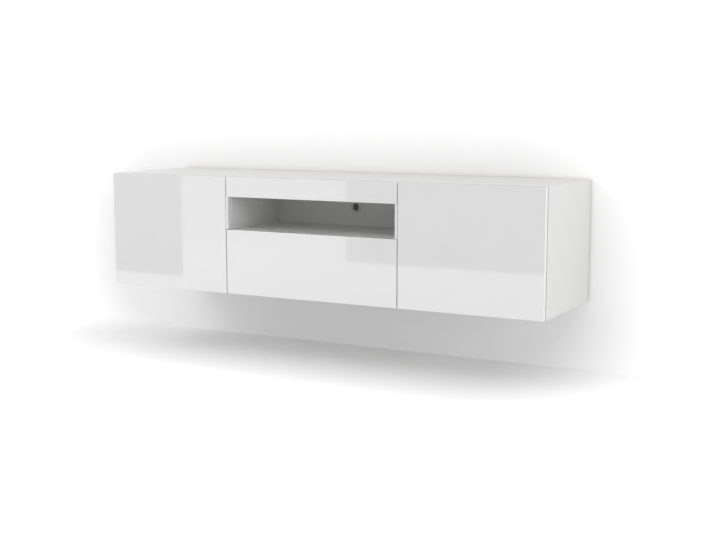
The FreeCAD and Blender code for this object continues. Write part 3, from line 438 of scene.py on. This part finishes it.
tree.links.new(relief.outputs["Normal"], shader.inputs["Normal"])
tree.links.new(relief.outputs["Normal"], shader.inputs["Coat Normal"])
dress(lacquer, *FRONTS)
dress(melamine("fascia_rail"), "fascia_rail")


# Shelves: one loose board in each side bay, of the carcass's melamine chipboard and banded at the
# front like it. Each lies on four steel pins.
for shelf in ("left_shelf", "right_shelf"):
    dress(melamine(shelf), shelf)


# Cup hinges: cups, arms and plates stamped from steel and nickel plated, which gives a warm, smooth
# shine. Plates are screwed to the side panels and cups into bores in the doors.
NICKEL = "#CFCBC2"
NICKEL_DULL = "#BDB8AE"
NICKEL_CLOUD = 6.0 * MM

nickel = metal("nickel_plated_steel", NICKEL, NICKEL_DULL, NICKEL_CLOUD, smoothest=0.16, roughest=0.26)
for side in ("left", "right"):
    for piece in ("hinge_arms", "hinge_plates", "hinge_cups", "hinge_pins"):
        dress(nickel, side + "_" + piece)
dress(nickel, "hinge_trim_screws")


# Push latches: grey plastic housings screwed to the partitions, each with a plunger that meets a
# steel disc on the back of the front and springs it open.
MOULDED_GREY = "#8D9093"
MOULDED_GREY_SHADED = "#7C7F83"
PLUNGER_GREY = "#C9CACA"
PLUNGER_GREY_SHADED = "#BDBEBF"

housing_grey = moulded("moulded_grey_abs", MOULDED_GREY, MOULDED_GREY_SHADED, roughness=0.5)
plunger_grey = moulded("moulded_pale_grey_acetal", PLUNGER_GREY, PLUNGER_GREY_SHADED, roughness=0.35)
dress(housing_grey, "left_latch_housing", "right_latch_housing", "drawer_latch_housings")
dress(plunger_grey, "left_latch_plunger", "right_latch_plunger", "drawer_latch_plungers")


# Runners: three telescoping members to a side, rolled from zinc-plated strip, which is streaked along
# its length. The outer one is screwed to the partition, the inner one to the drawer, and the middle
# one rolls on polished steel balls held in strips.
STRIP = 1.2 * MM              # steel strip of the members
LIP_ROUND = 0.5 * MM
BEND = 2.2 * MM               # outer radius of the rolled corners
ARC_STEPS = 5
SMOOTH_BELOW = math.radians(40)
RACE_HEIGHT = 3.1 * MM        # between the lips of the outer and the middle member
INNER_RACE_HEIGHT = 4.2 * MM
BALL_PLAY = 0.1 * MM
BALL_PITCH = 9.0 * MM
BALL_SEGMENTS = 16
BALL_RINGS = 8
ROW_LENGTH = 120 * MM
CAGE_THICK = 0.5 * MM
CAGE_PLAY = 0.4 * MM
STREAK_ALONG_Y = (1.0, 0.03, 1.0)

runner_steel = metal(
    "rolled_runner_steel", ROLLED, ROLLED_DULL, ROLLING_STREAK,
    smoothest=0.26, roughest=0.42, stretch=STREAK_ALONG_Y,
)
ball_steel = metal(
    "polished_ball_steel", PLATED, PLATED_DULL, PLATING_CLOUD, smoothest=0.08, roughest=0.16
)


def rounded_outline(corners):
    """A closed outline in X and Z from corners with a radius each, as points with arcs."""
    points = []
    for i, (x, z, radius) in enumerate(corners):
        corner = Vector((x, z))
        before = (Vector(corners[i - 1][:2]) - corner).normalized()
        after = (Vector(corners[(i + 1) % len(corners)][:2]) - corner).normalized()
        centre = corner + (before + after) * radius
        for step in range(ARC_STEPS + 1):
            turn = step / ARC_STEPS * math.pi / 2
            points.append(centre - after * radius * math.cos(turn) - before * radius * math.sin(turn))
    return points


def rolled(name, corners, front, back, material, body):
    """A member rolled to an outline and cut off between two depths."""
    shape = bmesh.new()
    outline = rounded_outline(corners)
    ring = [shape.verts.new((p.x, front, p.y)) for p in outline]
    end = shape.faces.new(ring)
    pushed = bmesh.ops.extrude_face_region(shape, geom=[end])["geom"]
    moved = [v for v in pushed if isinstance(v, bmesh.types.BMVert)]
    bmesh.ops.translate(shape, verts=moved, vec=(0, back - front, 0))
    bmesh.ops.recalc_face_normals(shape, faces=shape.faces)
    for edge in shape.edges:
        edge.smooth = edge.calc_face_angle(0) < SMOOTH_BELOW
    mesh = bpy.data.meshes.new(name)
    shape.to_mesh(mesh)
    shape.free()
    mesh.shade_smooth()
    mesh.materials.append(material)
    piece = bpy.data.objects.new(name, mesh)
    bpy.context.scene.collection.objects.link(piece)
    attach(piece, body)
    return piece


def channel_corners(web_x, lip_x, low_z, high_z):
    """The corners of a channel: a web, and a lip at its top and bottom that point the other way."""
    inward = math.copysign(STRIP, lip_x - web_x)
    inner_bend = BEND - STRIP
    return [
        (web_x, low_z, BEND),
        (lip_x, low_z, LIP_ROUND),
        (lip_x, low_z + STRIP, LIP_ROUND),
        (web_x + inward, low_z + STRIP, inner_bend),
        (web_x + inward, high_z - STRIP, inner_bend),
        (lip_x, high_z - STRIP, LIP_ROUND),
        (lip_x, high_z, LIP_ROUND),
        (web_x, high_z, BEND),
    ]


def beam_corners(wall_x, drawer_x, low_z, high_z):
    """The corners of the middle member: a web with a lip both ways at its top and bottom."""
    across = math.copysign(STRIP / 2, drawer_x - wall_x)
    near = (wall_x + drawer_x) / 2 - across
    far = (wall_x + drawer_x) / 2 + across
    inner_bend = BEND - STRIP
    lower = [
        (near, low_z + STRIP, inner_bend),
        (wall_x, low_z + STRIP, LIP_ROUND),
        (wall_x, low_z, LIP_ROUND),
        (drawer_x, low_z, LIP_ROUND),
        (drawer_x, low_z + STRIP, LIP_ROUND),
        (far, low_z + STRIP, inner_bend),
    ]
    return lower + [(x, low_z + high_z - z, r) for x, z, r in reversed(lower)]


ball_rows = bpy.data.node_groups.new("ball_rows", "GeometryNodeTree")
ball_rows.is_modifier = True
for label, kind in (
    ("Geometry", "NodeSocketGeometry"),
    ("Ball radius", "NodeSocketFloat"),
    ("Ball pitch", "NodeSocketFloat"),
    ("Ball steel", "NodeSocketMaterial"),
):
    ball_rows.interface.new_socket(label, in_out="INPUT", socket_type=kind)
ball_rows.interface.new_socket("Geometry", in_out="OUTPUT", socket_type="NodeSocketGeometry")
given = add(ball_rows, "NodeGroupInput").outputs
path = add(ball_rows, "GeometryNodeMeshToCurve", {"Mesh": given["Geometry"]})
places = add(
    ball_rows, "GeometryNodeCurveToPoints",
    {"Curve": path.outputs["Curve"], "Length": given["Ball pitch"]},
    mode="LENGTH",
)
ball = add(
    ball_rows, "GeometryNodeMeshUVSphere",
    {"Segments": BALL_SEGMENTS, "Rings": BALL_RINGS, "Radius": given["Ball radius"]},
)
row = add(
    ball_rows, "GeometryNodeInstanceOnPoints",
    {"Points": places.outputs["Points"], "Instance": ball.outputs["Mesh"]},
)
real = add(ball_rows, "GeometryNodeRealizeInstances", {"Geometry": row.outputs["Instances"]})
round_balls = add(ball_rows, "GeometryNodeSetShadeSmooth", {"Geometry": real.outputs["Geometry"]})
steel_balls = add(
    ball_rows, "GeometryNodeSetMaterial",
    {"Geometry": round_balls.outputs["Geometry"], "Material": given["Ball steel"]},
)
add(ball_rows, "NodeGroupOutput", {"Geometry": steel_balls.outputs["Geometry"]})


def balls_along(name, lines, radius, body):
    """Rows of balls along straight lines, made a plain mesh."""
    base = bpy.data.meshes.new(name + "_lines")
    ends = [end for line in lines for end in line]
    base.from_pydata(ends, [(i, i + 1) for i in range(0, len(ends), 2)], [])
    maker = bpy.data.objects.new(name + "_maker", base)
    bpy.context.scene.collection.objects.link(maker)
    modifier = maker.modifiers.new("balls", "NODES")
    modifier.node_group = ball_rows
    values = {"Ball radius": radius, "Ball pitch": BALL_PITCH, "Ball steel": ball_steel}
    for item in ball_rows.interface.items_tree:
        if item.name in values:
            modifier[item.identifier] = values[item.name]
    evaluated = maker.evaluated_get(bpy.context.evaluated_depsgraph_get())
    mesh = bpy.data.meshes.new_from_object(evaluated)
    mesh.name = name
    bpy.data.objects.remove(maker)
    piece = bpy.data.objects.new(name, mesh)
    bpy.context.scene.collection.objects.link(piece)
    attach(piece, body)
    return piece


for side, sign in (("left", -1), ("right", 1)):
    low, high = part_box(side + "_runner_outer")
    wall_x = sign * max(abs(low.x), abs(high.x))
    outer_lip_x = sign * min(abs(low.x), abs(high.x))
    front, back = low.y, high.y
    centre_z = (low.z + high.z) / 2
    outer_half = (high.z - low.z) / 2
    outer = rolled(
        side + "_runner_outer_member",
        channel_corners(wall_x, outer_lip_x, low.z, high.z),
        front, back, runner_steel, "carcass",
    )
    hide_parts(side + "_runner_outer")

    low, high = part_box(side + "_runner_inner")
    drawer_x = sign * min(abs(low.x), abs(high.x))
    inner_lip_x = sign * max(abs(low.x), abs(high.x))
    inner_half = (high.z - low.z) / 2
    inner = rolled(
        side + "_runner_inner_member",
        channel_corners(drawer_x, inner_lip_x, low.z, high.z),
        front, back, runner_steel, "drawer",
    )
    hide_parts(side + "_runner_inner")

    low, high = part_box(side + "_runner_middle")
    middle_wall_x = sign * max(abs(low.x), abs(high.x))
    middle_drawer_x = sign * min(abs(low.x), abs(high.x))
    middle_half = outer_half - STRIP - RACE_HEIGHT
    middle = rolled(
        side + "_runner_middle_member",
        beam_corners(middle_wall_x, middle_drawer_x, centre_z - middle_half, centre_z + middle_half),
        front, back, runner_steel, "runner_middles",
    )
    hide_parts(side + "_runner_middle")

    outer_row_x = sign * (abs(middle_wall_x) + abs(outer_lip_x)) / 2
    inner_row_x = sign * (abs(middle_drawer_x) + abs(inner_lip_x)) / 2
    races = (
        ("outer", outer_row_x, middle_half, RACE_HEIGHT, back - ROW_LENGTH, back),
        ("inner", inner_row_x, inner_half, INNER_RACE_HEIGHT, front, front + ROW_LENGTH),
    )
    for race, row_x, seat, room, start, end in races:
        radius = room / 2 - BALL_PLAY
        rows = []
        for way in (-1, 1):
            row_z = centre_z + way * (seat + room / 2)
            rows.append(((row_x, start + radius, row_z), (row_x, end - radius, row_z)))
            cage_half = room / 2 - CAGE_PLAY
            rolled(
                side + "_runner_" + race + ("_cage_low" if way < 0 else "_cage_high"),
                [
                    (row_x - CAGE_THICK / 2, row_z - cage_half, CAGE_THICK / 4),
                    (row_x + CAGE_THICK / 2, row_z - cage_half, CAGE_THICK / 4),
                    (row_x + CAGE_THICK / 2, row_z + cage_half, CAGE_THICK / 4),
                    (row_x - CAGE_THICK / 2, row_z + cage_half, CAGE_THICK / 4),
                ],
                start, end, runner_steel, "runner_middles",
            )
        balls_along(side + "_runner_" + race + "_balls", rows, radius, "runner_middles")


# Drawer: a screwed box of 12 mm melamine boards with a hardboard bottom slid into grooves. The
# lacquered front is screwed on from inside the box.
for board in ("drawer_box_front", "drawer_left_side", "drawer_right_side", "drawer_back"):
    dress(melamine(board), board)
dress(hardboard("drawer_bottom", (0, 0, 1)), "drawer_bottom")


# Stage: a white painted wall and floor that let light and a camera behind them pass. The wall is open
# behind the console, so that its back is lit. Round the console the paint glows less, a painted shadow
# that deepens the real one.
FLOOR_DROP = 0.216            # from the console's underside to the floor
STAGE_REACH = 6.0
WALL_TOP = 4.0
WALL_GAP = 6.0 * MM           # a plastered wall is never flat, and leaves a joint, shown dark by a painted shade card
REBATE = 1.5 * MM             # how far the wall reaches behind the console's outline
STAGE_WHITE = "#F2F2F2"
PAINTED_SHADOW_LIFT = 0.095             # light added where the camera or a mirror sees the stage, least in the painted shadow
LIFT_FAR = 0.45
PAINTED_SHADOW_LEFT = 0.08             # the core of the painted shadow: past the console's left end,
PAINTED_SHADOW_RIGHT = 0.29            # short of its right end
PAINTED_SHADOW_FRONT = 0.13            # and out from the wall
PAINTED_SHADOW_ROUND = 0.25            # round that core the painted shadow is deepest
PAINTED_SHADOW_FADE = 0.30                   # and from there it fades to white
floor_z = cad_low.z - FLOOR_DROP
painted_shadow_low = Vector((cad_low.x - PAINTED_SHADOW_LEFT, -PAINTED_SHADOW_FRONT, floor_z + PAINTED_SHADOW_ROUND))
painted_shadow_high = Vector((cad_high.x - PAINTED_SHADOW_RIGHT, 0.0, cad_high.z - PAINTED_SHADOW_ROUND))


def seen_directly(tree, ray):
    """1 where the camera sees a surface, also in a mirror or through glass, and otherwise 0."""
    mirrored = add(
        tree, "ShaderNodeMath",
        {0: ray["Is Glossy Ray"], 1: ray["Is Transmission Ray"]},
        operation="MAXIMUM",
    )
    seen = add(
        tree, "ShaderNodeMath", {0: ray["Is Camera Ray"], 1: mirrored.outputs[0]}, operation="MAXIMUM"
    )
    return seen.outputs[0]


def stage_paint_with_painted_shadow(name, colour):
    """Matt paint: in white it just reaches white in full light and keeps the shadows, glows less round
    the console as a painted shadow, and it is clear from behind."""
    material, tree, shader, place = finish_called(
        name, Base_Color=srgb(colour), Roughness=0.9, Specular_IOR_Level=0.0
    )
    ray = add(tree, "ShaderNodeLightPath").outputs
    seen = seen_directly(tree, ray)
    centred = add(
        tree, "ShaderNodeVectorMath", {0: place, 1: (painted_shadow_low + painted_shadow_high) / 2}, operation="SUBTRACT"
    )
    folded = add(tree, "ShaderNodeVectorMath", {0: centred.outputs["Vector"]}, operation="ABSOLUTE")
    past = add(
        tree, "ShaderNodeVectorMath",
        {0: folded.outputs["Vector"], 1: (painted_shadow_high - painted_shadow_low) / 2},
        operation="SUBTRACT",
    )
    outside = add(
        tree, "ShaderNodeVectorMath", {0: past.outputs["Vector"], 1: (0, 0, 0)}, operation="MAXIMUM"
    )
    away = add(tree, "ShaderNodeVectorMath", {0: outside.outputs["Vector"]}, operation="LENGTH")
    # Painted shadow: near the console less light is added, so the stage shows darker there.
    painted_shade = add(
        tree, "ShaderNodeMapRange",
        {
            "Value": away.outputs["Value"],
            "From Min": PAINTED_SHADOW_ROUND,
            "From Max": PAINTED_SHADOW_ROUND + PAINTED_SHADOW_FADE,
            "To Min": PAINTED_SHADOW_LIFT,
            "To Max": LIFT_FAR,
        },
    )
    lift_with_painted_shadow = add(tree, "ShaderNodeMath", {0: seen, 1: painted_shade.outputs["Result"]}, operation="MULTIPLY")
    glow = add(tree, "ShaderNodeEmission", {"Color": srgb(colour), "Strength": lift_with_painted_shadow.outputs[0]})
    painted = add(tree, "ShaderNodeAddShader", {0: shader.outputs[0], 1: glow.outputs[0]})
    behind = add(tree, "ShaderNodeNewGeometry").outputs["Backfacing"]
    passing = add(
        tree, "ShaderNodeMath", {0: ray["Is Camera Ray"], 1: ray["Is Shadow Ray"]}, operation="MAXIMUM"
    )
    clear = add(tree, "ShaderNodeMath", {0: behind, 1: passing.outputs[0]}, operation="MULTIPLY")
    window = add(tree, "ShaderNodeBsdfTransparent")
    surface = add(
        tree, "ShaderNodeMixShader", {0: clear.outputs[0], 1: painted.outputs[0], 2: window.outputs[0]}
    )
    tree.links.new(surface.outputs[0], tree.nodes["Material Output"].inputs["Surface"])
    return material


def stage_sheet(name, corners, faces, material):
    """A flat piece of the stage."""
    mesh = bpy.data.meshes.new(name)
    mesh.from_pydata(corners, [], faces)
    mesh.materials.append(material)
    sheet = bpy.data.objects.new(name, mesh)
    bpy.context.scene.collection.objects.link(sheet)
    return sheet


stage_sheet(
    "stage_floor",
    [
        (-STAGE_REACH, -STAGE_REACH, floor_z),
        (STAGE_REACH, -STAGE_REACH, floor_z),
        (STAGE_REACH, STAGE_REACH, floor_z),
        (-STAGE_REACH, STAGE_REACH, floor_z),
    ],
    [(0, 1, 2, 3)],
    stage_paint_with_painted_shadow("stage_floor_paint_and_painted_shadow", STAGE_WHITE),
)
wall_columns = (-STAGE_REACH, cad_low.x + REBATE, cad_high.x - REBATE, STAGE_REACH)
wall_rows = (floor_z, cad_low.z + REBATE, cad_high.z - REBATE, WALL_TOP)
wall_points = [(x, WALL_GAP, z) for z in wall_rows for x in wall_columns]
wall_faces = []
for row in range(3):
    for column in range(3):
        if (row, column) != (1, 1):
            first = row * 4 + column
            wall_faces.append((first, first + 1, first + 5, first + 4))
stage_sheet("stage_wall", wall_points, wall_faces, stage_paint_with_painted_shadow("stage_wall_paint_and_painted_shadow", STAGE_WHITE))


# Painted shade: a grey card in the wall's opening stands for what lies in shadow behind the console.
# Only the camera sees it, in the joint at the wall and through the cable hole.
PAINTED_SHADE_GREY = "#808080"
painted_shade_card = stage_sheet(
    "stage_painted_shade",
    [
        (wall_columns[1], WALL_GAP, wall_rows[1]),
        (wall_columns[2], WALL_GAP, wall_rows[1]),
        (wall_columns[2], WALL_GAP, wall_rows[2]),
        (wall_columns[1], WALL_GAP, wall_rows[2]),
    ],
    [(0, 1, 2, 3)],
    stage_paint_with_painted_shadow("stage_painted_shade_paint", PAINTED_SHADE_GREY),
)
painted_shade_card.visible_diffuse = False
painted_shade_card.visible_glossy = False
painted_shade_card.visible_transmission = False
painted_shade_card.visible_shadow = False


# Light: an even white surround, a soft box at the left and a fill at the right. Two grey cards in
# front of the console are seen only in its gloss, and leave a lighter strip between them.
SURROUND = 0.725
LAMP_AIM = Vector((0.0, -0.2, -0.2))
LAMPS = (
    ("soft_box", Vector((-2.2, -2.6, 1.6)), (2.4, 1.8), 24.5),
    ("fill_box", Vector((4.4, -2.0, 0.4)), (2.0, 2.0), 35.5),
)
CARD_GREY = "#6A6A6A"
CARD_LOW = -0.48
CARD_TOP = 3.0
CARDS = (                     # how far in front, and from where to where along the wall
    ("stage_card_left", -1.6, -STAGE_REACH, -1.376),
    ("stage_card_right", -2.4, -0.98, STAGE_REACH),
)

world = bpy.data.worlds.new("studio")
bpy.context.scene.world = world
world.use_nodes = True
tree = world.node_tree
seen = seen_directly(tree, add(tree, "ShaderNodeLightPath").outputs)
strength = add(tree, "ShaderNodeMapRange", {"Value": seen, "To Min": SURROUND, "To Max": 1.0})
tree.nodes["Background"].inputs["Color"].default_value = srgb("#FFFFFF")
tree.links.new(strength.outputs["Result"], tree.nodes["Background"].inputs["Strength"])

for name, where, size, power in LAMPS:
    light = bpy.data.lights.new(name, "AREA")
    light.shape = "RECTANGLE"
    light.size, light.size_y = size
    light.energy = power
    lamp = bpy.data.objects.new(name, light)
    lamp.location = where
    lamp.rotation_euler = (LAMP_AIM - where).to_track_quat("-Z", "Y").to_euler()
    bpy.context.scene.collection.objects.link(lamp)

card_paint, tree, shader, place = finish_called("stage_card_paint")
card_glow = add(tree, "ShaderNodeEmission", {"Color": srgb(CARD_GREY)})
tree.links.new(card_glow.outputs[0], tree.nodes["Material Output"].inputs["Surface"])
for name, depth, start, end in CARDS:
    card = stage_sheet(
        name,
        [
            (start, depth, CARD_LOW),
            (end, depth, CARD_LOW),
            (end, depth, CARD_TOP),
            (start, depth, CARD_TOP),
        ],
        [(0, 1, 2, 3)],
        card_paint,
    )
    card.visible_camera = False
    card.visible_diffuse = False
    card.visible_shadow = False
    card.visible_transmission = False


# Camera: where the photograph was taken from, to the right of the console and a little above it. Its
# place, angles and lens were fitted to the corners of the console in the photograph.
CAMERA_PLACE = (1.803, -3.414, 0.270)
CAMERA_PITCH = math.radians(-7.868)
CAMERA_TURN = math.radians(28.43)
CAMERA_LENS = 58.7
SENSOR_WIDTH = 36.0

camera = bpy.data.cameras.new("camera")
camera.lens = CAMERA_LENS
camera.sensor_width = SENSOR_WIDTH
viewpoint = bpy.data.objects.new("camera", camera)
viewpoint.location = CAMERA_PLACE
viewpoint.rotation_euler = (math.pi / 2 + CAMERA_PITCH, 0.0, CAMERA_TURN)
bpy.context.scene.collection.objects.link(viewpoint)
bpy.context.scene.camera = viewpoint
bpy.context.scene.view_settings.view_transform = "Standard"


# Finish: the view layer is brought up to date.
bpy.context.view_layer.update()
